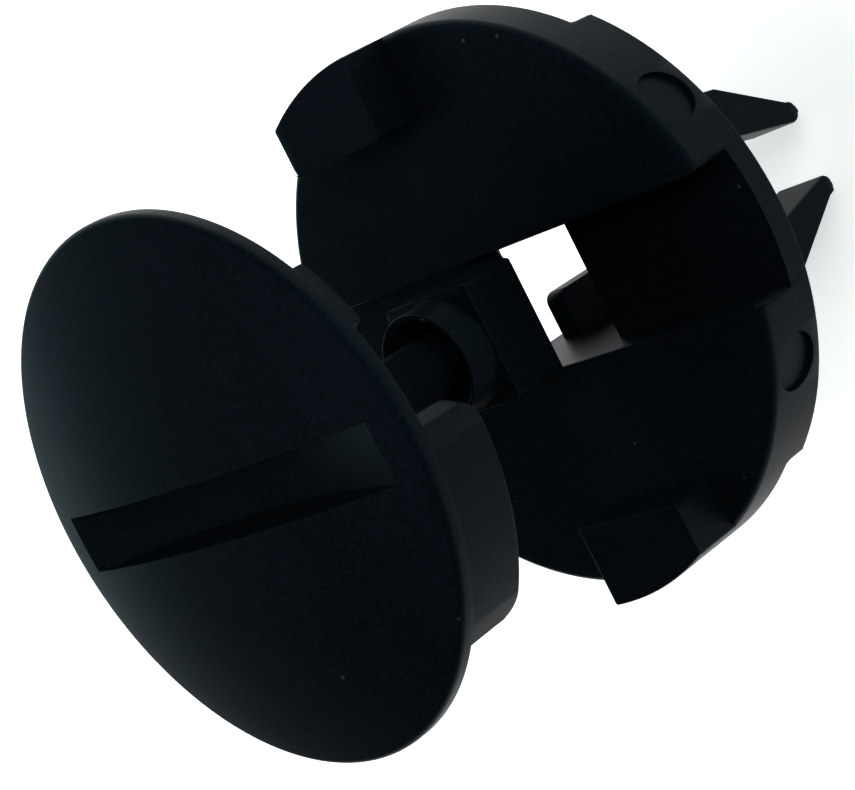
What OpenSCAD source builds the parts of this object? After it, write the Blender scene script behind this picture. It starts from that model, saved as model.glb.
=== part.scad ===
// Panel retainer clip: a snap-in body, a plunger that slides through it and a slotted head that turns on it.
// Millimetres. The origin is on the axis at the body's seating face.
// +Z points to the head, +X runs along the channel.

/* [Body] */
// Outside diameter of the round body
body_d = 26; // [22:0.5:34]
// Thickness of the two half discs on the front
disc_t = 2.2; // [1.8:0.1:3.2]
// Thickness of the rear plate that carries them
plate_t = 1.25; // [1:0.05:2]
// Width of the rear plate across its two flats
plate_w = 20; // [17:0.5:21]
// Rounding of the front rim
rim_r = 0.4; // [0.2:0.1:0.8]
// Rounding of the channel's corners at the rim
notch_r = 0.5; // [0.2:0.1:1]

/* [Stop tabs] */
// Length of a stop tab, from the middle line to its far end
tab_l = 6; // [4:0.1:7]
// Distance of a tab's straight inner side from the axis
tab_y = 9.2; // [9:0.1:10.5]
// Height of a tab above the front face
tab_h = 2.4; // [1.5:0.1:3]
// Rounding of a tab's inner corners
tab_r = 0.3; // [0.1:0.1:0.8]

/* [Wall marks] */
// Diameter of a round sunk mark on the outer wall
mark_d = 2.5; // [1.5:0.1:3]
// Depth of a mark at its middle
mark_depth = 0.25; // [0.15:0.05:0.6]
// Angle of a mark either side of the channel
mark_a = 27; // [20:1:40]

/* [Legs] */
// Length of the legs behind the seating face
leg_l = 12.5; // [10:0.1:16]
// Width of a leg along the channel, at its root
leg_w = 11.2; // [8:0.1:14]
// Thickness of a leg between the plate and its barb
leg_t = 1.2; // [0.8:0.05:1.8]
// How far the inner faces lean in at the end of the barb's body
leg_lean = 0.65; // [0.3:0.05:0.9]
// Thickness of the rounded tip
tip_t = 1; // [0.4:0.05:1.2]
// Distance of the tip's inner side from the middle plane
tip_y = 1.35; // [0.8:0.05:1.8]
// Panel thickness that the barbs leave free
grip = 4.4; // [2:0.1:6]
// How far a barb stands out from its leg
barb = 1; // [0.5:0.05:1.4]
// Length of the barb's body, from its shoulder to the lead-in
barb_l = 3.6; // [2.5:0.1:5]

/* [Guide ribs] */
// Thickness of a guide rib inside the legs
rib_t = 1.2; // [0.8:0.1:1.6]
// Gap between the two ribs' free edges and the middle plane
rib_y = 0.65; // [0.2:0.05:1]
// Free space between the rear plate and the front end of a rib
rib_z = 2.4; // [1:0.1:2.5]
// Rounding of a rib's free corner
rib_r = 0.5; // [0.2:0.05:1]

/* [Plunger] */
// Size of the plunger block along the channel
block_x = 5.3; // [4.4:0.1:6]
// Size of the plunger block across the channel
block_y = 5.3; // [4.6:0.1:6]
// Length of the block along the axis
block_l = 2.95; // [2:0.05:4]
// Outside diameter of the round socket on the block
socket_d = 5; // [4.2:0.1:6]
// Length of the socket
socket_l = 1.55; // [1:0.05:3]
// Width of the socket's thin lip
lip_t = 0.2; // [0.1:0.05:0.4]
// Depth of the funnel inside the socket
funnel_l = 1.5; // [0.8:0.05:2.5]
// Length of the bevelled nose behind the block, which stays in the hole when drawn out
nose_l = 4.05; // [3.4:0.05:4.5]
// Thickness of the nose at its end
nose_t = 0.5; // [0.4:0.05:1]
// Rounding of the block's edges along the axis
block_r = 0.3; // [0.1:0.05:0.6]

/* [Head] */
// Diameter of the head
head_d = 23.2; // [23.2:0.1:27]
// Height of the straight edge of the rim
edge_t = 0.5; // [0.5:0.1:1.5]
// Radius of the rounded shoulder
shoulder_r = 0.3; // [0.2:0.1:0.8]
// Radius of the domed front
dome_r = 50; // [46:1:70]
// Wall thickness of the dome
head_wall = 1.1; // [0.9:0.05:1.15]
// Width of the tool slot
slot_w = 2.5; // [1.6:0.1:3.2]
// Depth of the slot in the middle
slot_depth = 3; // [2.4:0.1:3.6]
// Radius of the slot's curved floor
slot_r = 27; // [22:0.5:36]
// Wall left round the slot
slot_wall = 1.1; // [0.8:0.1:1.6]
// Diameter of the hub behind the head
hub_d = 5; // [4:0.1:6]
// Height of the hub below the rim
hub_h = 2.2; // [1:0.1:2.6]
// Diameter of the stem
stem_d = 2.7; // [2.2:0.1:3.2]
// Length of the stem inside the plunger
stem_in = 3.3; // [2:0.1:4]

/* [Stop lugs] */
// Distance of a lug's outer face from the axis
lug_r = 11.5; // [9.5:0.1:15]
// Radial thickness of a lug
lug_t = 1.7; // [1:0.1:2.2]
// Length of a lug, measured straight across
lug_l = 8.8; // [6:0.1:11]
// Height of a lug below the rim
lug_h = 2.6; // [1.2:0.1:2.8]
// Rounding of a lug's corners
lug_c = 0.9; // [0.3:0.1:1]
// Angle of a lug's middle, turned back from the channel
lug_a = 21; // [10:1:26]
// Length of the moulding gate's stub on the rim
gate_l = 2.4; // [1.5:0.1:4]
// Height of the gate's stub below the rim
gate_h = 0.4; // [0.1:0.05:0.4]
// How far the stub's outer face lies inside the rim
gate_in = 0.05; // [0.02:0.01:0.2]
// Angle of the gate's stub
gate_a = 32; // [25:1:60]

/* [Fits and travel] */
// Sliding clearance of the plunger in the body, on each side
slide_gap = 0.17; // [0.1:0.01:0.3]
// Running clearance of the stem in the plunger, on the radius
stem_gap = 0.05; // [0.02:0.01:0.1]
// Free space beyond the stem's end in its bore
end_gap = 0.3; // [0.1:0.05:0.5]
// Gap between the head and the stop tabs when the clip is closed
seat_gap = 0.65; // [0.5:0.05:0.9]
// How far the head and the plunger are drawn out in the shown state
draw = 13.9; // [11:0.05:14.2]
// Distance from the plunger's socket to the rim of the head
head_gap = 11.1; // [9:0.05:12]

/* [Hidden] */
$fn = 96;
eps = 0.01;
body_r = body_d / 2;
face_z = plate_t + disc_t;
hole_x = block_x + 2 * slide_gap;
hole_y = block_y + 2 * slide_gap;
leg_y = hole_y / 2;
half_chord = sqrt(pow(body_r, 2) - pow(leg_y, 2));
bore_d = stem_d + 2 * stem_gap;
bore_l = stem_in + end_gap;
rim_z = face_z + tab_h + seat_gap + draw;
mouth_z = rim_z - head_gap;
block_top = mouth_z - socket_l;
block_z = block_top - block_l;
head_r = head_d / 2;
ring_r = head_r - shoulder_r;
dome_z = edge_t - sqrt(pow(dome_r - shoulder_r, 2) - pow(ring_r, 2));
meet_r = dome_r * ring_r / (dome_r - shoulder_r);
crown_z = dome_z + dome_r;
slot_z = crown_z - slot_depth + slot_r;
recess_r = lug_r - lug_t - slot_wall / 2;
trough_r = min(recess_r, tab_y - seat_gap);
barb_y = leg_y + leg_t + barb;
lead_z = grip + barb_l;
mark_z = face_z / 2;

// Sub-part to draw

// Flat rectangle with round corners, centred
module rounded_square(w, h, r) {
    square([w - 2 * r, h], center = true);
    square([w, h - 2 * r], center = true);
    for (x = [-1, 1], y = [-1, 1])
        translate([x * (w / 2 - r), y * (h / 2 - r)])
            circle(r, $fn = 32);
}

// Both of a pair that repeats half a turn round the axis
module both_ways() {
    children();
    rotate(180) children();
}

// One half disc on the front, with its rounded rim and its channel corners
module half_disc() {
    intersection() {
        translate([0, 0, plate_t - eps])
            rotate_extrude() {
                square([body_r - rim_r, disc_t + eps]);
                square([body_r, disc_t + eps - rim_r]);
                translate([body_r - rim_r, disc_t + eps - rim_r]) circle(rim_r, $fn = 32);
            }
        translate([0, hole_y / 2 + body_r, 0])
            linear_extrude(face_z) rounded_square(half_chord * 2, body_d, notch_r);
    }
}

// Stop tab on the rim, straight inside and round outside
module stop_tab() {
    intersection() {
        cylinder(h = face_z + tab_h, r = body_r);
        translate([-tab_l / 2, tab_y + body_r / 2, face_z - eps])
            linear_extrude(tab_h + eps) rounded_square(tab_l, body_r, tab_r);
    }
}

// Leg seen along the channel: root, barb, lead-in and tip
module leg_profile() {
    polygon([
        [leg_y, eps], [leg_y, -grip], [leg_y - leg_lean, -lead_z], [tip_y, -leg_l + tip_t / 2],
        [tip_y + tip_t, -leg_l + tip_t / 2], [barb_y - barb / 2, -lead_z], [barb_y, -grip - barb / 2],
        [leg_y + leg_t, -grip], [leg_y + leg_t, eps]
    ]);
    translate([tip_y + tip_t / 2, -leg_l + tip_t / 2]) circle(tip_t / 2, $fn = 32);
}

// One leg with its barb, grooved for the plunger
module leg() {
    difference() {
        translate([-leg_w / 2, 0, 0])
            rotate([90, 0, 90]) linear_extrude(leg_w) leg_profile();
        translate([-hole_x / 2, 0, -leg_l - eps])
            cube([hole_x, leg_y, leg_l + 3 * eps]);
    }
}

// Guide rib on the inside of a leg, beside the plunger's way
module guide_rib() {
    rib_h = lead_z - rib_z;
    translate([hole_x / 2 + slide_gap, 0, -rib_z - rib_h])
        rotate([90, 0, 90])
            linear_extrude(rib_t) {
                translate([rib_y + rib_r, 0]) square([leg_y + leg_t / 2 - rib_y - rib_r, rib_h]);
                translate([rib_y, 0]) square([leg_y - rib_y, rib_h - rib_r]);
                translate([rib_y + rib_r, rib_h - rib_r]) circle(rib_r, $fn = 32);
            }
}

// Round sunk mark on the outer wall
module wall_mark(a) {
    rotate(a)
        translate([body_r - mark_depth, 0, mark_z])
            rotate([0, 90, 0]) cylinder(h = body_r, d = mark_d, $fn = 48);
}

module body() {
    color([0.03, 0.032, 0.035])
        difference() {
            union() {
                intersection() {
                    cylinder(h = plate_t, r = body_r);
                    translate([-body_r, -plate_w / 2, 0]) cube([body_d, plate_w, plate_t]);
                }
                both_ways() {
                    half_disc();
                    stop_tab();
                    leg();
                    guide_rib();
                }
            }
            translate([-hole_x / 2, -hole_y / 2, -eps])
                cube([hole_x, hole_y, face_z]);
            both_ways() {
                wall_mark(mark_a);
                wall_mark(-mark_a);
            }
        }
}

// Nose behind the block, bevelled across the channel to a thin guide on one side
module nose() {
    translate([0, block_y / 2, block_z])
        rotate([90, 0, 0])
            linear_extrude(block_y)
                polygon([
                    [-block_x / 2, eps], [-block_x / 2, -nose_l], [nose_t - block_x / 2, -nose_l],
                    [block_x / 2 - block_r, eps]
                ]);
}

module plunger() {
    color([0.03, 0.032, 0.035])
        difference() {
            union() {
                nose();
                translate([0, 0, block_z])
                    linear_extrude(block_l) rounded_square(block_x, block_y, block_r);
                translate([0, 0, block_top - eps])
                    cylinder(h = socket_l + eps, d = socket_d);
            }
            translate([0, 0, mouth_z - bore_l])
                cylinder(h = bore_l + eps, d = bore_d);
            translate([0, 0, mouth_z - funnel_l])
                cylinder(h = funnel_l + eps, d1 = bore_d, d2 = socket_d - 2 * lip_t);
        }
}

// Half section of the head: domed front, rounded shoulder and straight edge
module head_section() {
    square([head_r, edge_t]);
    intersection() {
        translate([ring_r, edge_t]) circle(shoulder_r);
        square([head_r, crown_z]);
    }
    intersection() {
        translate([0, dome_z]) circle(dome_r, $fn = 360);
        square([meet_r, crown_z + eps]);
    }
}

// Disc along the channel that the slot's floor and its trough follow
module slot_disc(r, w) {
    translate([0, w / 2, slot_z])
        rotate([90, 0, 0]) cylinder(h = w, r = r, $fn = 180);
}

// Stop lug behind the rim, with round corners
module stop_lug() {
    intersection() {
        translate([0, 0, -lug_h])
            difference() {
                cylinder(h = lug_h + edge_t, r = lug_r);
                translate([0, 0, -eps])
                    cylinder(h = lug_h + edge_t + 2 * eps, r = lug_r - lug_t);
            }
        rotate(-lug_a)
            translate([0, 0, -lug_h + head_r / 2])
                rotate([90, 0, 90]) linear_extrude(head_r) rounded_square(lug_l, head_r, lug_c);
    }
}

// Stub left by the moulding gate, under the rim
module gate_stub() {
    rotate(gate_a)
        intersection() {
            translate([0, 0, -gate_h]) cylinder(h = gate_h + edge_t / 2, r = head_r - gate_in);
            translate([lug_r - lug_t, -gate_l / 2, -gate_h])
                cube([head_r, gate_l, gate_h + edge_t / 2]);
        }
}

// Hollow behind the dome, left solid along the slot
module recess() {
    difference() {
        intersection() {
            translate([0, 0, dome_z]) sphere(dome_r - head_wall, $fn = 360);
            translate([0, 0, -eps]) cylinder(h = crown_z, r = recess_r);
        }
        slot_disc(slot_r + slot_wall, slot_w + 2 * slot_wall);
        cylinder(h = crown_z, d = hub_d);
    }
}

module head() {
    color([0.03, 0.032, 0.035])
        translate([0, 0, rim_z])
            difference() {
                union() {
                    difference() {
                        rotate_extrude() head_section();
                        recess();
                    }
                    intersection() {
                        slot_disc(slot_r + slot_wall, slot_w + 2 * slot_wall);
                        translate([0, 0, -hub_h]) cylinder(h = hub_h + eps, r = trough_r);
                    }
                    translate([0, 0, -hub_h]) cylinder(h = hub_h + eps, d = hub_d);
                    translate([0, 0, -head_gap - stem_in]) cylinder(h = head_gap + stem_in - eps, d = stem_d);
                    both_ways() stop_lug();
                    gate_stub();
                }
                slot_disc(slot_r, slot_w);
            }
}

body();
plunger();
head();
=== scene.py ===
"""Panel retainer clip: moulded pieces, black plastic and a plain studio, laid out as an add-on."""

import math

import bmesh
import bpy
from bpy.props import FloatProperty, FloatVectorProperty, PointerProperty
from mathutils import Matrix, Vector


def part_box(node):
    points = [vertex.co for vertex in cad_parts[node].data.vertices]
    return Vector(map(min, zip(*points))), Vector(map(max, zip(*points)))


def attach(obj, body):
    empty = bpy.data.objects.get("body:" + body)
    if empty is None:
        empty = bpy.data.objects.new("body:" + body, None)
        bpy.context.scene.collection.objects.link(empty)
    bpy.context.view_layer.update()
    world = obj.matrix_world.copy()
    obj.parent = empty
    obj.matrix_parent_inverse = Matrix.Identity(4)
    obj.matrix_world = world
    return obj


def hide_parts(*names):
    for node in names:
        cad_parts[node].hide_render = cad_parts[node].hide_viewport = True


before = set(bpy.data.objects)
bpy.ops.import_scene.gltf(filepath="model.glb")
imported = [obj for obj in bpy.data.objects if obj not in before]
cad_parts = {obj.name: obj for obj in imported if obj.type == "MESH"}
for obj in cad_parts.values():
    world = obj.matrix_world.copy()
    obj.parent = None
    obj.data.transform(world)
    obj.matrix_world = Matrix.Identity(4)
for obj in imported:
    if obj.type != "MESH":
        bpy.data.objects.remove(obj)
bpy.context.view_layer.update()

bl_info = {
    "name": "Panel retainer clip",
    "version": (1, 0, 0),
    "blender": (4, 5, 0),
    "location": "View3D > Sidebar > Clip",
    "description": "Builds a snap-in panel retainer clip with a sliding plunger and a slotted head",
    "category": "Add Mesh",
}

MM = 0.001
TURN = 2 * math.pi
LAP = 0.005 * MM  # inset that keeps two walls from coinciding
OVERLAP = MM / 2  # how far a joined shape reaches into its neighbour
MERGE = 0.0005 * MM  # points of one outline that are closer than this are one
WELD = 0.002 * MM  # the same for points that a cut leaves
FLAT = math.radians(0.2)  # faces that meet at less than this are one
SHARP = math.radians(35)  # edges above this are rounded
CREASE = math.radians(28)  # edges above this stay sharp in the shading
EDGE_SEGMENTS = 2

# Facets of a full turn
BODY_STEPS = 180
SOCKET_STEPS = 96
HEAD_STEPS = 360
MARK_STEPS = 40
RIM_STEP = TURN / BODY_STEPS

# Facets of an arc
CORNER_STEPS = 5
LUG_STEPS = 6
RIB_STEPS = 6
TIP_STEPS = 8
DOME_STEPS = 14
SHOULDER_STEPS = 10
HOLLOW_STEPS = 10
RIM_EDGE_STEPS = 4
TROUGH_STEPS = 32
SLOT_STEPS = 48

# Patterns in the plastic: a scale is per metre, and a range runs from
# where a pattern starts to where it is full
GRAIN_RANGE = (0.38, 0.64)
FLOW_SCALE = 140.0
FLOW_RANGE = (0.42, 0.68)
FLOW_SHARE = 0.3
STREAK_TURN = (0.0, 0.0, 0.7)
STREAK_SCALE = (160.0, 5200.0, 700.0)
STREAK_RANGE = (0.80, 0.86)
STREAK_RELIEF = -0.6
SPECK_SCALE = 620.0
SPECK_RANGE = (0.06, 0.03)
SPECK_LIMIT = 0.5
GLOSS_SPREAD = 0.09
BUMP_STRENGTH = 0.5
BUMP_DEPTH = 0.02 * MM

SHADE_RANGE = (-0.3, 0.05)  # from the shaded side of the surround to the bright one, along Y
CLIP_RANGE = (0.001, 50)  # nearest and farthest distance that the camera sees

BODY_LOW, BODY_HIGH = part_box("body")
PLUNGER_LOW, PLUNGER_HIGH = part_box("plunger")
HEAD_LOW, HEAD_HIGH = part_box("head")


def length(name, description, default):
    """A size in metres that a user can change."""
    return FloatProperty(name=name, description=description, default=default, unit="LENGTH", precision=5)


def degrees(name, description, default):
    """An angle that a user can change, given in degrees."""
    return FloatProperty(name=name, description=description, default=math.radians(default), subtype="ANGLE")


def share(name, description, default, **limits):
    """A plain number from 0 up that a user can change."""
    return FloatProperty(name=name, description=description, default=default, min=0, **limits)


def tint(name, description, default):
    """A colour that a user can change."""
    return FloatVectorProperty(
        name=name, description=description, default=default, subtype="COLOR", size=3, min=0, max=1)


def point(name, description, default):
    """A place in metres that a user can change."""
    return FloatVectorProperty(
        name=name, description=description, default=default, subtype="TRANSLATION", size=3)


class BodySizes(bpy.types.PropertyGroup):
    """Sizes of the snap-in body."""

    radius: length("Radius", "Outside radius of the round body", BODY_HIGH[1])
    plate: length("Rear plate", "Thickness of the rear plate", 1.25 * MM)
    flat: length("Flats", "Distance of the rear plate's flats from the axis", 10 * MM)
    disc: length("Half discs", "Thickness of the half discs on the front", 2.2 * MM)
    rim: length("Rim", "Rounding of the front rim", 0.4 * MM)
    notch: length("Channel corners", "Rounding of the channel's corners at the rim", 0.5 * MM)
    way_x: length("Hole length", "Half length of the hole along the channel", 2.82 * MM)
    way_y: length("Channel", "Half width of the channel and of the hole", 2.82 * MM)
    tab_length: length("Tab length", "Length of a stop tab", 6 * MM)
    tab_side: length("Tab side", "Distance of a tab's inner side from the axis", 9.2 * MM)
    tab_round: length("Tab corners", "Rounding of a tab's inner corners", 0.3 * MM)
    mark_radius: length("Mark radius", "Radius of a sunk mark on the wall", 1.25 * MM)
    mark_depth: length("Mark depth", "Depth of a sunk mark", 0.25 * MM)
    mark_angle: degrees("Mark angle", "Angle of a mark from the channel", 27)
    leg_width: length("Leg width", "Half width of a leg along the channel", 5.6 * MM)
    leg_wall: length("Leg wall", "Thickness of a leg above its barb", 1.2 * MM)
    leg_lean: length("Leg lean", "How far a leg's inner face leans in", 0.65 * MM)
    grip: length("Grip", "Panel thickness left free above the barbs", 4.4 * MM)
    barb: length("Barb", "How far a barb stands out", 1 * MM)
    barb_length: length("Barb length", "Length of a barb's body", 3.6 * MM)
    tip: length("Tip", "Thickness of a leg's tip", 1 * MM)
    tip_side: length("Tip side", "Distance of a tip's inner side from the middle", 1.35 * MM)
    rib: length("Rib", "Thickness of a guide rib", 1.2 * MM)
    rib_side: length("Rib side", "Distance of a rib's free edge from the middle", 0.65 * MM)
    rib_gap: length("Rib gap", "Distance of a rib from the hole's side", 0.17 * MM)
    rib_start: length("Rib start", "Distance of a rib's front end behind the plate", 2.4 * MM)
    rib_round: length("Rib corner", "Rounding of a rib's free corner", 0.5 * MM)
    edge: length("Soft edge", "Rounding that moulding leaves on the edges", 0.12 * MM)


class PlungerSizes(bpy.types.PropertyGroup):
    """Sizes of the plunger."""

    block_x: length("Block length", "Half size of the block along the channel", PLUNGER_HIGH[0])
    block_y: length("Block width", "Half size of the block across the channel", PLUNGER_HIGH[1])
    block_round: length("Block corners", "Rounding of the block's long edges", 0.3 * MM)
    socket: length("Socket", "Outside radius of the socket", 2.5 * MM)
    socket_length: length("Socket length", "Length of the socket in front of the block", 1.55 * MM)
    block_length: length("Block depth", "Length of the block along the axis", 2.95 * MM)
    lip: length("Lip", "Width of the socket's thin lip", 0.2 * MM)
    funnel: length("Funnel", "Depth of the funnel in the socket", 1.5 * MM)
    bore: length("Bore", "Radius of the bore", 1.4 * MM)
    bore_depth: length("Bore depth", "Depth of the bore from the mouth", 3.6 * MM)
    nose_tip: length("Nose tip", "Thickness of the nose at its end", 0.5 * MM)
    edge: length("Soft edge", "Rounding that moulding leaves on the edges", 0.08 * MM)


class HeadSizes(bpy.types.PropertyGroup):
    """Sizes of the slotted head."""

    radius: length("Radius", "Radius of the head", HEAD_HIGH[0])
    edge_height: length("Edge", "Height of the straight edge of the rim", 0.5 * MM)
    shoulder: length("Shoulder", "Radius of the rounded shoulder", 0.3 * MM)
    dome: length("Dome", "Radius of the domed front", 50 * MM)
    wall: length("Wall", "Wall thickness of the dome", 1.1 * MM)
    recess: length("Recess", "Radius of the hollow behind the dome", 9.25 * MM)
    slot: length("Slot", "Half width of the tool slot", 1.25 * MM)
    slot_depth: length("Slot depth", "Depth of the slot in the middle", 3 * MM)
    slot_floor: length("Slot floor", "Radius of the slot's curved floor", 27 * MM)
    slot_wall: length("Slot wall", "Wall left round the slot", 1.1 * MM)
    trough: length("Trough", "Half length of the wall behind the slot, below the rim", 8.55 * MM)
    hub: length("Hub", "Radius of the hub", 2.5 * MM)
    hub_height: length("Hub height", "Height of the hub below the rim", 2.2 * MM)
    stem: length("Stem", "Radius of the stem", 1.35 * MM)
    lug_inner: length("Lug inside", "Distance of a lug's inner face from the axis", 10.7 * MM)
    lug_length: length("Lug length", "Length of a lug, straight across", 8.8 * MM)
    lug_height: length("Lug height", "Height of a lug below the rim", 2.6 * MM)
    lug_round: length("Lug corners", "Rounding of a lug's corners", 0.9 * MM)
    lug_angle: degrees("Lug angle", "Angle of a lug's middle, turned back from the channel", 21)
    gate_length: length("Gate length", "Length of the gate's stub on the rim", 3.03 * MM)
    gate_height: length("Gate height", "Height of the gate's stub", 0.4 * MM)
    gate_round: length("Gate corners", "Rounding of the stub's corners", 0.15 * MM)
    gate_angle: degrees("Gate angle", "Angle of the gate's stub", 30)
    edge: length("Soft edge", "Rounding that moulding leaves on the edges", 0.12 * MM)


class PlasticFinish(bpy.types.PropertyGroup):
    """Look of the moulded black plastic."""

    colour: tint("Colour", "Colour of the plastic", (0.0012, 0.0021, 0.0031))
    worn: tint("Scuffed colour", "Colour where the surface is rubbed", (0.0028, 0.0046, 0.0068))
    speck: tint("Speck colour", "Colour of the dust specks", (0.030, 0.036, 0.036))
    sheen: tint("Sheen colour", "Tint of the reflections", (0.50, 0.93, 1.0))
    shine: share("Shine", "Level of the reflections", 0.035, max=1)
    grain: length("Grain", "Size of the moulded grain", 0.14 * MM)
    gloss: share("Roughness", "Mean roughness of the surface", 0.38, max=1)


class StudioSizes(bpy.types.PropertyGroup):
    """Camera, floor and lamps."""

    camera_place: point("Camera", "Place of the camera", (74.73 * MM, 11.72 * MM, 72.72 * MM))
    camera_aim: point("Aim", "Point in the middle of the picture", (0, -0.85 * MM, 9.88 * MM))
    camera_roll: degrees("Roll", "Turn of the camera about its own view line", -123.1)
    lens: FloatProperty(name="Lens", description="Focal length in millimetres", default=101.05, min=1)
    floor_size: length("Floor", "Side of the square floor", 3.0)
    floor_gap: length("Floor gap", "Distance of the floor below the legs", 1 * MM)
    floor_colour: tint("Floor colour", "Colour of the floor", (0.93, 0.93, 0.93))
    floor_lift: share("Floor lift", "Light added to the floor as it is seen, not as it lights", 0.6)
    horizon: share("Horizon", "Level of the surround at the horizon", 2.3)
    overhead: share("Overhead", "Level of the surround overhead", 0.15)
    shade: share("Shade", "Share of the surround's light on the -Y side", 0.3)
    surround: tint("Surround", "Colour of the surround", (0.58, 0.92, 1.0))
    fade: share("Fade", "Height, of 1, at which the surround is dim", 0.30)
    lamp_size: length("Lamp size", "Side of a square softbox", 0.45)
    left_place: point("Left lamp", "Place of the left softbox", (-0.68, 0.10, 0.62))
    left_power: share("Left power", "Power of the left softbox in watts", 3.6)
    top_place: point("Top lamp", "Place of the top softbox", (-0.10, 0.16, 0.95))
    top_power: share("Top power", "Power of the top softbox in watts", 3.0)
    right_place: point("Right lamp", "Place of the right softbox", (0.58, 0.42, 0.60))
    right_power: share("Right power", "Power of the right softbox in watts", 3.4)


def arc(centre, radius, start, end, steps):
    """Points on an arc from one angle to another, both ends included."""
    angles = [start + (end - start) * i / steps for i in range(steps + 1)]
    return [(centre[0] + radius * math.cos(a), centre[1] + radius * math.sin(a)) for a in angles]


def rim_arc(radius, start, end):
    """Points on an arc about the axis, on one grid of angles, so that stacked rims meet cleanly."""
    first = math.floor(start / RIM_STEP) + 1
    last = math.ceil(end / RIM_STEP) - 1
    angles = [start] + [i * RIM_STEP for i in range(first, last + 1)] + [end]
    return [(radius * math.cos(a), radius * math.sin(a)) for a in angles]


def rounded_box(half_x, half_y, radius, steps=CORNER_STEPS):
    """Outline of a rectangle with round corners, centred."""
    points = []
    for quarter, (sx, sy) in enumerate([(1, 1), (-1, 1), (-1, -1), (1, -1)]):
        centre = (sx * (half_x - radius), sy * (half_y - radius))
        points += arc(centre, radius, quarter * TURN / 4, (quarter + 1) * TURN / 4, steps)
    return points


def prism(points, low, high, turn=None):
    """Closed bmesh of an outline drawn out from one height to another."""
    bm = bmesh.new()
    verts = [bm.verts.new((x, y, low)) for x, y in points]
    face = bm.faces.new(verts)
    drawn = bmesh.ops.extrude_face_region(bm, geom=[face])
    top = [v for v in drawn["geom"] if isinstance(v, bmesh.types.BMVert)]
    bmesh.ops.translate(bm, verts=top, vec=(0, 0, high - low))
    if turn is not None:
        bmesh.ops.transform(bm, matrix=turn, verts=bm.verts)
    bmesh.ops.remove_doubles(bm, verts=bm.verts, dist=MERGE)
    bmesh.ops.recalc_face_normals(bm, faces=bm.faces)
    return bm


def spun(points, steps, closed=False):
    """Bmesh of an outline, open or closed, turned once about the axis."""
    bm = bmesh.new()
    verts = [bm.verts.new((r, 0, z)) for r, z in points]
    following = verts[1:] + verts[:1] if closed else verts[1:]
    edges = [bm.edges.new(pair) for pair in zip(verts, following)]
    bmesh.ops.spin(
        bm, geom=verts + edges, cent=(0, 0, 0), axis=(0, 0, 1), angle=TURN, steps=steps, use_merge=True)
    return bm


def lathe(points, steps):
    """Closed bmesh of an outline turned about the axis; both ends of the outline lie on it."""
    bm = spun(points, steps)
    bmesh.ops.remove_doubles(bm, verts=bm.verts, dist=MERGE)
    bmesh.ops.recalc_face_normals(bm, faces=bm.faces)
    return bm


# Turns that lay a prism's outline (across, up) on an upright plane and draw it out sideways
ALONG_X = Matrix(((0, 0, 1, 0), (1, 0, 0, 0), (0, 1, 0, 0), (0, 0, 0, 1)))
ALONG_Y = Matrix(((1, 0, 0, 0), (0, 0, -1, 0), (0, 1, 0, 0), (0, 0, 0, 1)))


def as_object(name, bm):
    """Object that holds a bmesh, linked to the scene."""
    mesh = bpy.data.meshes.new(name)
    bm.to_mesh(mesh)
    bm.free()
    obj = bpy.data.objects.new(name, mesh)
    bpy.context.scene.collection.objects.link(obj)
    return obj


def carve(obj, bm, operation):
    """Join a bmesh to an object, cut it away or keep what both share."""
    tool = as_object("tool", bm)
    step = obj.modifiers.new("carve", "BOOLEAN")
    step.operation = operation
    step.solver = "EXACT"
    step.object = tool
    graph = bpy.context.evaluated_depsgraph_get()
    graph.update()
    carved = bpy.data.meshes.new_from_object(obj.evaluated_get(graph))
    if not carved.polygons:
        raise RuntimeError(f"{obj.name}: the {operation.lower()} left nothing")
    obj.modifiers.clear()
    obj.data = carved
    bpy.data.objects.remove(tool)


def soften(obj, width, keep=None):
    """Merge what the cuts left, round the sharp edges and shade the rest smooth."""
    bm = bmesh.new()
    bm.from_mesh(obj.data)
    bmesh.ops.remove_doubles(bm, verts=bm.verts, dist=WELD)
    bmesh.ops.dissolve_degenerate(bm, edges=bm.edges, dist=WELD)
    bmesh.ops.delete(bm, geom=[e for e in bm.edges if not e.link_faces], context="EDGES")
    bmesh.ops.dissolve_limit(
        bm, angle_limit=FLAT, verts=bm.verts, edges=bm.edges, use_dissolve_boundaries=False)
    bmesh.ops.triangulate(bm, faces=[f for f in bm.faces if len(f.verts) > 4])
    bmesh.ops.recalc_face_normals(bm, faces=bm.faces)
    sharp = [e for e in bm.edges if e.is_manifold and e.calc_face_angle() > SHARP]
    if keep is not None:
        sharp = [e for e in sharp if keep(e)]
    bmesh.ops.bevel(
        bm, geom=sharp, offset=width, offset_type="OFFSET", segments=EDGE_SEGMENTS, profile=0.5,
        affect="EDGES", clamp_overlap=False, loop_slide=True, material=-1, face_strength_mode="ALL")
    bmesh.ops.recalc_face_normals(bm, faces=bm.faces)
    for face in bm.faces:
        face.smooth = True
    for edge in bm.edges:
        edge.smooth = not edge.is_manifold or edge.calc_face_angle() < CREASE
    bm.to_mesh(obj.data)
    bm.free()
    even = obj.modifiers.new("even_shading", "WEIGHTED_NORMAL")
    even.keep_sharp = True
    even.use_face_influence = True
    even.mode = "FACE_AREA_WITH_ANGLE"


def half_turn(points):
    """The same outline half a turn round the axis."""
    return [(-x, -y) for x, y in points]


def box(half_x, half_y):
    """Outline of a rectangle, centred."""
    return [(half_x, half_y), (-half_x, half_y), (-half_x, -half_y), (half_x, -half_y)]


def both(bm, side):
    """The same bmesh, or for side -1 half a turn round the axis."""
    bmesh.ops.scale(bm, vec=(side, side, 1), verts=bm.verts)
    return bm


def place(obj, node, material):
    """Finish a piece: its plastic, the body it rides on and the node it stands for."""
    obj.data.materials.clear()
    obj.data.materials.append(material)
    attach(obj, node)
    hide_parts(node)


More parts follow.
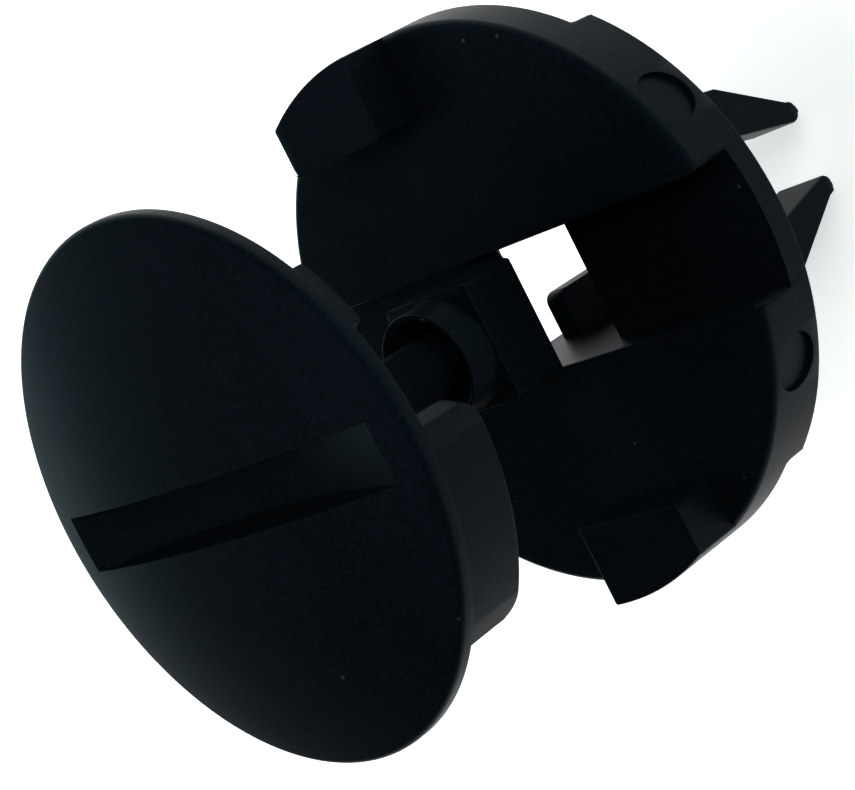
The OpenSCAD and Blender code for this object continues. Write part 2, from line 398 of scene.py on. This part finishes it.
class NodeSheet:
    """Small helper that fills the empty node tree of a material or a world."""

    def __init__(self, owner):
        owner.use_nodes = True
        self.tree = owner.node_tree
        self.tree.nodes.clear()

    def feed(self, socket, value):
        """Link a socket to another one, or give it a fixed value."""
        if isinstance(value, bpy.types.NodeSocket):
            self.tree.links.new(value, socket)
        else:
            socket.default_value = value

    def add(self, kind, inputs=None, **settings):
        node = self.tree.nodes.new(kind)
        for key, value in settings.items():
            setattr(node, key, value)
        for key, value in (inputs or {}).items():
            self.feed(node.inputs[key], value)
        return node

    def math(self, operation, *values, **settings):
        """Result of a sum of two or three values."""
        node = self.add("ShaderNodeMath", dict(enumerate(values)), operation=operation, **settings)
        return node.outputs["Value"]

    def ramp(self, value, source, target=(0.0, 1.0), **settings):
        """A value carried over from one range to another."""
        node = self.add("ShaderNodeMapRange", {
            "Value": value, "From Min": source[0], "From Max": source[1],
            "To Min": target[0], "To Max": target[1]}, **settings)
        return node.outputs["Result"]

    def blend(self, factor, first, second):
        """Colour between two others."""
        node = self.add("ShaderNodeMix", {"Factor": factor}, data_type="RGBA")
        sockets = {socket.identifier: socket for socket in (*node.inputs, *node.outputs)}
        self.feed(sockets["A_Color"], first)
        self.feed(sockets["B_Color"], second)
        return sockets["Result_Color"]


def moulded_plastic(name, shift):
    """Black satin plastic with a fine moulded grain, rubbed streaks and a few specks of dust."""
    look = bpy.context.scene.clip_finish
    material = bpy.data.materials.new(name)
    sheet = NodeSheet(material)
    where = sheet.add("ShaderNodeTexCoord").outputs["Object"]
    placed = sheet.add("ShaderNodeMapping", {"Vector": where, "Location": shift}).outputs["Vector"]

    grain = sheet.add("ShaderNodeTexNoise", {
        "Vector": placed, "Scale": 1 / look.grain, "Detail": 3.0, "Roughness": 0.6}).outputs["Fac"]
    flow = sheet.add("ShaderNodeTexNoise", {
        "Vector": placed, "Scale": FLOW_SCALE, "Detail": 4.0, "Roughness": 0.55}).outputs["Fac"]

    turned = sheet.add("ShaderNodeMapping", {
        "Vector": placed, "Rotation": STREAK_TURN, "Scale": STREAK_SCALE}).outputs["Vector"]
    streak = sheet.add("ShaderNodeTexNoise", {"Vector": turned, "Scale": 1.0, "Detail": 1.0}).outputs["Fac"]
    scratch = sheet.ramp(streak, STREAK_RANGE)

    dots = sheet.add("ShaderNodeTexVoronoi", {
        "Vector": placed, "Scale": SPECK_SCALE, "Randomness": 1.0}, feature="F1").outputs
    near = sheet.ramp(dots["Distance"], SPECK_RANGE)
    chosen = sheet.add("ShaderNodeSeparateColor", {"Color": dots["Color"]}).outputs["Red"]
    speck = sheet.math("MULTIPLY", near, sheet.math("GREATER_THAN", chosen, SPECK_LIMIT))

    rubbed = sheet.ramp(flow, FLOW_RANGE, (0.0, FLOW_SHARE))
    pitted = sheet.ramp(grain, GRAIN_RANGE)
    mottled = sheet.math("ADD", rubbed, pitted, use_clamp=True)
    marked = sheet.math("MAXIMUM", mottled, scratch)
    toned = sheet.blend(marked, (*look.colour, 1), (*look.worn, 1))
    coloured = sheet.blend(speck, toned, (*look.speck, 1))

    rough = sheet.ramp(flow, (0.0, 1.0), (look.gloss - GLOSS_SPREAD, look.gloss + GLOSS_SPREAD))
    relief = sheet.math("MULTIPLY_ADD", scratch, STREAK_RELIEF, grain)
    bump = sheet.add("ShaderNodeBump", {
        "Strength": BUMP_STRENGTH, "Distance": BUMP_DEPTH, "Height": relief}).outputs["Normal"]

    shader = sheet.add("ShaderNodeBsdfPrincipled", {
        "Base Color": coloured, "Roughness": rough, "Normal": bump,
        "IOR": 1.5, "Specular IOR Level": look.shine, "Specular Tint": (*look.sheen, 1)})
    sheet.add("ShaderNodeOutputMaterial", {"Surface": shader.outputs["BSDF"]})
    return material


class CLIP_OT_body(bpy.types.Operator):
    """Build the snap-in body with its channel, tabs, marks, legs and ribs"""

    bl_idname = "clip.body"
    bl_label = "Body"

    def execute(self, context):
        s = context.scene.clip_body
        face = s.plate + s.disc
        beyond = s.radius + MM

        obj = as_object("clip_body", lathe(self.section(s, face), BODY_STEPS))
        carve(obj, prism(self.channel(s, beyond), s.plate, face + MM), "DIFFERENCE")
        for side in (1, -1):
            near, far = side * s.flat, side * beyond
            flat = [(-beyond, near), (beyond, near), (beyond, far), (-beyond, far)]
            carve(obj, prism(flat, -MM, s.plate), "DIFFERENCE")
        carve(obj, prism(box(s.way_x, s.way_y), -MM, s.plate + OVERLAP), "DIFFERENCE")

        for side in (1, -1):
            carve(obj, self.tab(s, face, side), "UNION")
            carve(obj, self.leg(s, side), "UNION")
            carve(obj, self.rib(s, side), "UNION")
        carve(obj, prism(box(s.way_x, s.way_y), BODY_LOW[2] - MM, OVERLAP - s.grip), "DIFFERENCE")
        for middle in (0, math.pi):
            for side in (1, -1):
                carve(obj, self.mark(s, face, middle + side * s.mark_angle), "DIFFERENCE")

        soften(obj, s.edge, keep=lambda e: self.takes_rounding(e, s))
        place(obj, "body", moulded_plastic("black_plastic_body", (0.0, 0.0, 0.0)))
        return {"FINISHED"}

    def section(self, s, face):
        """Half section of the round disc with its rounded front rim."""
        rim = arc((s.radius - s.rim, face - s.rim), s.rim, 0, math.pi / 2, CORNER_STEPS)
        return [(0, 0), (s.radius, 0)] + rim + [(0, face)]

    def channel(self, s, beyond):
        """Outline of the channel, flared round the corners at the rim."""
        chord = math.sqrt(s.radius ** 2 - s.way_y ** 2)
        centre = (chord - s.notch, s.way_y + s.notch)
        quarter = arc(centre, s.notch, 0, -math.pi / 2, CORNER_STEPS)
        quarter[0] = (chord, centre[1])
        quarter[-1] = (centre[0], s.way_y)
        mirrored = [(-x, y) for x, y in reversed(quarter)]
        upper = [(beyond, centre[1])] + quarter + mirrored + [(-beyond, centre[1])]
        return upper + half_turn(upper)

    def tab(self, s, face, side):
        """Stop tab, straight inside and round outside."""
        outer = s.radius - LAP
        far = math.pi - math.acos(s.tab_length / outer)
        points = rim_arc(outer, math.pi / 2, far)
        points += arc((s.tab_round - s.tab_length, s.tab_side + s.tab_round), s.tab_round,
                      math.pi, 1.5 * math.pi, CORNER_STEPS)
        points += arc((-s.tab_round, s.tab_side + s.tab_round), s.tab_round,
                      1.5 * math.pi, TURN, CORNER_STEPS)
        return both(prism(points, face - 1.5 * s.rim, BODY_HIGH[2]), side)

    def leg(self, s, side):
        """Barbed leg with a round tip."""
        lead = s.grip + s.barb_length
        outer = s.way_y + s.leg_wall
        tip = (s.tip_side + s.tip / 2, BODY_LOW[2] + s.tip / 2)
        profile = [
            (outer, OVERLAP), (s.way_y, OVERLAP), (s.way_y, -s.grip), (s.way_y - s.leg_lean, -lead)]
        profile += arc(tip, s.tip / 2, math.pi, TURN, TIP_STEPS)
        profile += [
            (outer + s.barb / 2, -lead), (outer + s.barb, -s.grip - s.barb / 2), (outer, -s.grip)]
        return both(prism(profile, -s.leg_width, s.leg_width, ALONG_X), side)

    def rib(self, s, side):
        """Guide rib beside the plunger's way, its free corner round."""
        low = -s.grip - s.barb_length
        high = -s.rib_start
        corner = (s.rib_side + s.rib_round, high - s.rib_round)
        inside = s.way_y + s.leg_wall / 2
        profile = [(s.rib_side, low), (inside, low), (inside, high)]
        profile += arc(corner, s.rib_round, math.pi / 2, math.pi, RIB_STEPS)
        start = s.way_x + s.rib_gap
        return both(prism(profile, start, start + s.rib, ALONG_X), side)

    def mark(self, s, face, angle):
        """Cutter for a round sunk mark on the outer wall."""
        out = Vector((math.cos(angle), math.sin(angle), 0))
        bm = bmesh.new()
        bmesh.ops.create_cone(
            bm, cap_ends=True, segments=MARK_STEPS, radius1=s.mark_radius, radius2=s.mark_radius,
            depth=2 * MM)
        turn = out.to_track_quat("Z", "Y").to_matrix().to_4x4()
        middle = out * (s.radius - s.mark_depth + MM) + Vector((0, 0, face / 2))
        bmesh.ops.transform(bm, matrix=Matrix.Translation(middle) @ turn, verts=bm.verts)
        return bm

    def takes_rounding(self, edge, s):
        """True for an outer edge, apart from those of the marks, the channel's floor and the hole."""
        low, high = (v.co for v in edge.verts)
        level = abs(low.z - high.z) < LAP
        if not edge.is_convex or level and abs(low.z - s.plate) < LAP:
            return False
        middle = (low + high) / 2
        in_way = abs(middle.x) < s.way_x + LAP and abs(middle.y) < s.way_y + LAP
        if level and abs(middle.z) < LAP and in_way:
            return False
        half = (s.plate + s.disc) / 2
        for start in (s.mark_angle, -s.mark_angle, math.pi + s.mark_angle, math.pi - s.mark_angle):
            spot = Vector((s.radius * math.cos(start), s.radius * math.sin(start), half))
            if (middle - spot).length < s.mark_radius + s.mark_depth / 2:
                return False
        return True


class CLIP_OT_plunger(bpy.types.Operator):
    """Build the plunger: block, socket and bevelled nose"""

    bl_idname = "clip.plunger"
    bl_label = "Plunger"

    def execute(self, context):
        s = context.scene.clip_plunger
        mouth = PLUNGER_HIGH[2]
        block_top = mouth - s.socket_length
        block_low = block_top - s.block_length
        low = PLUNGER_LOW[2]

        obj = as_object("clip_plunger", prism(
            rounded_box(s.block_x, s.block_y, s.block_round), low, block_top))
        tip_end = s.nose_tip - s.block_x
        beyond = s.block_x + MM
        slant = [
            (tip_end, low - MM), (tip_end, low), (s.block_x - s.block_round, block_low),
            (beyond, block_low), (beyond, low - MM)]
        carve(obj, prism(slant, -beyond, beyond, ALONG_Y), "DIFFERENCE")
        socket = [(0, block_top - LAP), (s.socket, block_top - LAP), (s.socket, mouth), (0, mouth)]
        carve(obj, lathe(socket, SOCKET_STEPS), "UNION")
        floor = mouth - s.bore_depth
        throat = mouth - s.funnel
        inside = s.socket - s.lip
        bore = [(0, floor), (s.bore, floor), (s.bore, throat), (inside, mouth), (0, mouth + MM)]
        carve(obj, lathe(bore, SOCKET_STEPS), "DIFFERENCE")

        soften(obj, s.edge)
        place(obj, "plunger", moulded_plastic("black_plastic_plunger", (0.031, 0.017, 0.0)))
        return {"FINISHED"}


class CLIP_OT_head(bpy.types.Operator):
    """Build the slotted head with its hub, stem, lugs and gate stub"""

    bl_idname = "clip.head"
    bl_label = "Head"

    def execute(self, context):
        s = context.scene.clip_head
        ring = s.radius - s.shoulder
        # The slot takes the dome's top away, so the CAD box ends at the slot's edges
        crown = HEAD_HIGH[2] + s.dome - math.sqrt(s.dome ** 2 - s.slot ** 2)
        centre = crown - s.dome
        reach = math.sqrt((s.dome - s.shoulder) ** 2 - ring ** 2)
        rim = centre + reach - s.edge_height

        obj = as_object("clip_head", lathe(self.section(s, rim, centre), HEAD_STEPS))
        carve(obj, self.trough(s, rim, crown), "UNION")
        carve(obj, self.slot_cutter(s, crown), "DIFFERENCE")
        for side in (0, math.pi):
            lug = self.ring_part(s, rim, side - s.lug_angle, s.lug_length, s.lug_height, s.lug_round)
            carve(obj, lug, "UNION")
        stub = self.ring_part(s, rim, s.gate_angle, s.gate_length, s.gate_height, s.gate_round)
        carve(obj, stub, "UNION")

        soften(obj, s.edge, keep=lambda e: self.takes_rounding(e, s, rim))
        place(obj, "head", moulded_plastic("black_plastic_head", (0.013, 0.043, 0.0)))
        return {"FINISHED"}

    def section(self, s, rim, centre):
        """Half section of the shell, its hub and its stem, from the crown to the stem's end."""
        ring = s.radius - s.shoulder
        meet = math.asin(ring / (s.dome - s.shoulder))
        up = math.pi / 2
        points = arc((0, centre), s.dome, up, up - meet, DOME_STEPS)
        points += arc((ring, rim + s.edge_height), s.shoulder, up - meet, 0, SHOULDER_STEPS)[1:]
        points += arc((s.radius - s.edge, rim + s.edge), s.edge, 0, -up, RIM_EDGE_STEPS)
        points += [(s.recess, rim)]
        inner = s.dome - s.wall
        edge_angle = math.asin(s.recess / inner)
        hub_angle = math.asin(s.hub / inner)
        points += arc((0, centre), inner, up - edge_angle, up - hub_angle, HOLLOW_STEPS)
        hub_end, stem_end = rim - s.hub_height, HEAD_LOW[2]
        points += [(s.hub, hub_end), (s.stem, hub_end), (s.stem, stem_end), (0, stem_end)]
        points[0] = (0, points[0][1])  # on the axis, without the arc's rounding error
        return points

    def trough(self, s, rim, crown):
        """Wall left behind the slot, with the same curved floor."""
        radius = s.slot_floor + s.slot_wall
        middle = crown - s.slot_depth + s.slot_floor
        span = math.asin(s.trough / radius)
        points = arc((0, middle), radius, 1.5 * math.pi - span, 1.5 * math.pi + span, TROUGH_STEPS)
        high = crown - s.wall * 0.9  # inside the dome's wall
        points += [(s.trough, rim), (s.recess, rim), (s.recess, high)]
        points += [(-s.recess, high), (-s.recess, rim), (-s.trough, rim)]
        half = s.slot + s.slot_wall
        return prism(points, -half, half, ALONG_Y)

    def slot_cutter(self, s, crown):
        """Disc segment that cuts the slot."""
        middle = crown - s.slot_depth + s.slot_floor
        span = math.asin(s.radius / s.slot_floor)
        points = arc((0, middle), s.slot_floor, 1.5 * math.pi - span, 1.5 * math.pi + span, SLOT_STEPS)
        clear = crown + 6 * MM
        points += [(s.radius, clear), (-s.radius, clear)]
        return prism(points, -s.slot, s.slot, ALONG_Y)

    def ring_part(self, s, rim, angle, size, height, corner):
        """Part of a ring that hangs below the rim, flush with its edge, its corners round."""
        inner, outer = s.lug_inner, s.radius - LAP
        low = rim - height
        high = rim + s.edge_height * 0.8  # inside the rim's straight edge
        bm = spun([(inner, low), (outer, low), (outer, high), (inner, high)], HEAD_STEPS, closed=True)
        bmesh.ops.recalc_face_normals(bm, faces=bm.faces)
        ring = as_object("ring", bm)
        tall = 4 * MM  # half height of the outline, whose upper corners lie above the ring
        outline = [(x, z + low + tall) for x, z in rounded_box(size / 2, tall, corner, LUG_STEPS)]
        turn = Matrix.Rotation(angle, 4, "Z")
        carve(ring, prism(outline, inner - MM, s.radius + MM, turn @ ALONG_X), "INTERSECT")
        bm = bmesh.new()
        bm.from_mesh(ring.data)
        bpy.data.objects.remove(ring)
        return bm

    def takes_rounding(self, edge, s, rim):
        """True for an outer edge below the rim and its stub, and off the slot, which fades out."""
        low, high = (v.co for v in edge.verts)
        below = (low.z + high.z) / 2 < rim - s.gate_height - LAP
        on_slot = all(abs(abs(co.y) - s.slot) < LAP and co.z > rim - s.hub_height for co in (low, high))
        return edge.is_convex and below and not on_slot


class CLIP_OT_stage(bpy.types.Operator):
    """Set the camera, the floor and the soft light"""

    bl_idname = "clip.stage"
    bl_label = "Stage"

    def execute(self, context):
        s = context.scene.clip_stage
        self.camera(context, s)
        self.floor(s)
        self.world(context, s)
        self.lamp("left_softbox", s.left_place, s.lamp_size, s.left_power)
        self.lamp("top_softbox", s.top_place, s.lamp_size, s.top_power)
        self.lamp("right_softbox", s.right_place, s.lamp_size, s.right_power)
        context.scene.view_settings.view_transform = "Standard"
        return {"FINISHED"}

    def camera(self, context, s):
        """Camera that looks at the clip as in the photo."""
        data = bpy.data.cameras.new("clip_camera")
        data.lens = s.lens
        data.sensor_fit = "HORIZONTAL"
        data.clip_start, data.clip_end = CLIP_RANGE
        obj = bpy.data.objects.new("clip_camera", data)
        away = Vector(s.camera_aim) - Vector(s.camera_place)
        turn = away.to_track_quat("-Z", "Y").to_matrix().to_4x4()
        roll = Matrix.Rotation(s.camera_roll, 4, "Z")
        obj.matrix_world = Matrix.Translation(s.camera_place) @ turn @ roll
        context.scene.collection.objects.link(obj)
        context.scene.camera = obj

    def floor(self, s):
        """White floor under the legs, lifted for the rays that see it."""
        bm = bmesh.new()
        bmesh.ops.create_grid(bm, x_segments=1, y_segments=1, size=s.floor_size / 2)
        bmesh.ops.translate(bm, verts=bm.verts, vec=(0, 0, BODY_LOW[2] - s.floor_gap))
        obj = as_object("studio_floor", bm)
        material = bpy.data.materials.new("pale_floor")
        sheet = NodeSheet(material)
        matt = sheet.add("ShaderNodeBsdfDiffuse", {"Color": (*s.floor_colour, 1)}).outputs["BSDF"]
        rays = sheet.add("ShaderNodeLightPath").outputs
        seen = rays["Is Camera Ray"]
        for kind in ("Is Glossy Ray", "Is Transmission Ray"):
            seen = sheet.math("MAXIMUM", seen, rays[kind])
        lift = sheet.math("MULTIPLY", seen, s.floor_lift)
        glow = sheet.add("ShaderNodeEmission", {"Strength": lift}).outputs["Emission"]
        both_lights = sheet.add("ShaderNodeAddShader", {0: matt, 1: glow}).outputs["Shader"]
        sheet.add("ShaderNodeOutputMaterial", {"Surface": both_lights})
        obj.data.materials.append(material)

    def world(self, context, s):
        """Surround that is bright at the horizon, dim overhead and dimmer on the -Y side."""
        world = bpy.data.worlds.new("studio_surround")
        context.scene.world = world
        sheet = NodeSheet(world)
        where = sheet.add("ShaderNodeTexCoord").outputs["Generated"]
        parts = sheet.add("ShaderNodeSeparateXYZ", {"Vector": where}).outputs
        level = sheet.ramp(
            parts["Z"], (0.0, s.fade), (s.horizon, s.overhead), interpolation_type="SMOOTHSTEP")
        side = sheet.ramp(parts["Y"], SHADE_RANGE, (s.shade, 1.0), interpolation_type="SMOOTHSTEP")
        strength = sheet.math("MULTIPLY", level, side)
        back = sheet.add("ShaderNodeBackground", {"Color": (*s.surround, 1), "Strength": strength})
        sheet.add("ShaderNodeOutputWorld", {"Surface": back.outputs["Background"]})

    def lamp(self, name, spot, size, power):
        """Softbox aimed at the clip; its own mirror image is kept off the plastic."""
        data = bpy.data.lights.new(name, "AREA")
        data.shape = "SQUARE"
        data.size = size
        data.energy = power
        obj = bpy.data.objects.new(name, data)
        obj.location = spot
        obj.rotation_euler = (-Vector(spot)).to_track_quat("-Z", "Y").to_euler()
        obj.visible_glossy = False
        bpy.context.scene.collection.objects.link(obj)


class CLIP_PT_sidebar(bpy.types.Panel):
    """Lists the pieces of the clip"""

    bl_idname = "CLIP_PT_sidebar"
    bl_label = "Panel retainer clip"
    bl_space_type = "VIEW_3D"
    bl_region_type = "UI"
    bl_category = "Clip"

    def draw(self, context):
        for operator in OPERATORS:
            self.layout.operator(operator.bl_idname)
        for name in SETTINGS:
            block = self.layout.box()
            group = getattr(context.scene, name)
            block.label(text=group.__doc__)
            for key in group.__annotations__:
                block.prop(group, key)


OPERATORS = (CLIP_OT_body, CLIP_OT_plunger, CLIP_OT_head, CLIP_OT_stage)
SETTINGS = {
    "clip_body": BodySizes,
    "clip_plunger": PlungerSizes,
    "clip_head": HeadSizes,
    "clip_finish": PlasticFinish,
    "clip_stage": StudioSizes,
}


def register():
    for group in SETTINGS.values():
        bpy.utils.register_class(group)
    for name, group in SETTINGS.items():
        setattr(bpy.types.Scene, name, PointerProperty(type=group))
    for shown in (*OPERATORS, CLIP_PT_sidebar):
        bpy.utils.register_class(shown)


def unregister():
    for shown in reversed((*OPERATORS, CLIP_PT_sidebar)):
        bpy.utils.unregister_class(shown)
    for name in SETTINGS:
        delattr(bpy.types.Scene, name)
    for group in reversed(list(SETTINGS.values())):
        bpy.utils.unregister_class(group)


def main():
    register()
    bpy.ops.clip.body()
    bpy.ops.clip.plunger()
    bpy.ops.clip.head()
    bpy.ops.clip.stage()


if __name__ == "__main__":
    main()
